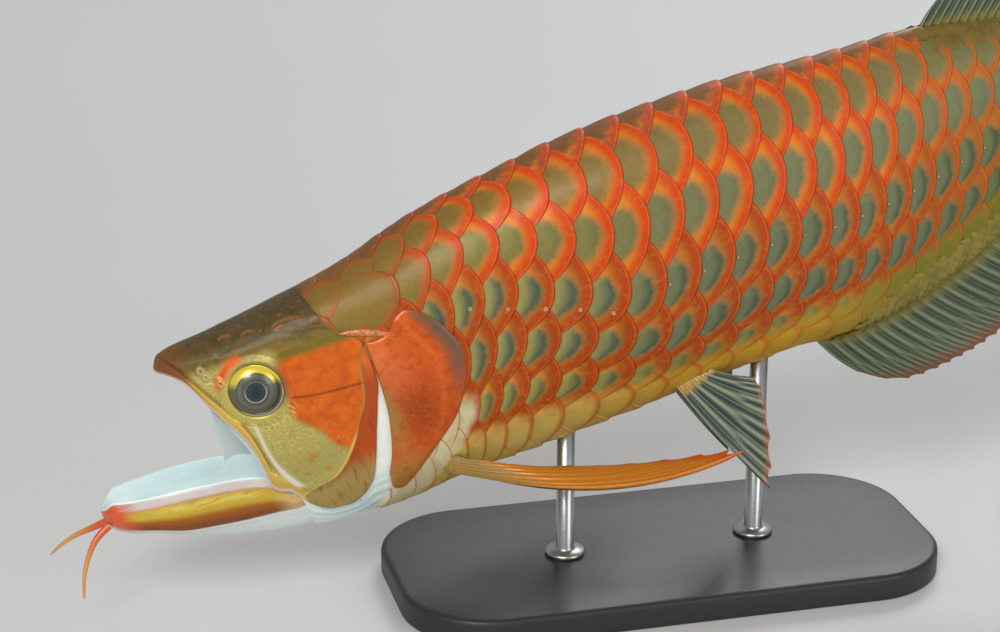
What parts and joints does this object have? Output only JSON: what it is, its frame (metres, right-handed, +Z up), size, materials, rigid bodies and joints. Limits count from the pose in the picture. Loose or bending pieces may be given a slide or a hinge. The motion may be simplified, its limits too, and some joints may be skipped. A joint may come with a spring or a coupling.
{
  "type": "asian arowana model",
  "caption": "Life-size still model of a whole asian arowana swimming nose-down with its jaw open, fins spread, on a flat board with short rods.",
  "frame": {"origin": "centre of the underside of the stand's board", "axes": "+Z up, the fish's head towards -X and its left side towards -Y"},
  "size_m": [0.5611, 0.2111, 0.2875],
  "materials": {
    "head_skin": "painted olive-gold and orange-red skin, satin to glossy",
    "pale_skin": "painted pale throat skin, satin",
    "cover_skin": "painted orange-red gill plate, glossy",
    "eye": "clear-coated eye, dark pupil, pale ringed iris",
    "scales": "painted scales, olive centres and orange-red rims, glossy",
    "fin_grey": "painted grey-green fin, pale rays, satin",
    "fin_amber": "painted amber to orange fin, satin",
    "stand_board": "matt black paint",
    "stand_steel": "brushed"
  },
  "bodies": {
    "root": {"head": "head_skin", "lower_jaw": "head_skin", "throat": "pale_skin", "gill_cover_left": "cover_skin", "gill_cover_right": "cover_skin", "eye_left": "eye", "eye_right": "eye", "barbel_left": "fin_amber", "barbel_right": "fin_amber", "torso": "scales", "tail": "scales", "dorsal_fin": "fin_grey", "anal_fin": "fin_grey", "caudal_fin": "fin_grey", "pectoral_fin_left": "fin_amber", "pectoral_fin_right": "fin_amber", "pelvic_fin_left": "fin_grey", "pelvic_fin_right": "fin_grey", "stand_base": "stand_board", "stand_rod_front": "stand_steel", "stand_rod_rear": "stand_steel"}
  },
  "joints": []
}
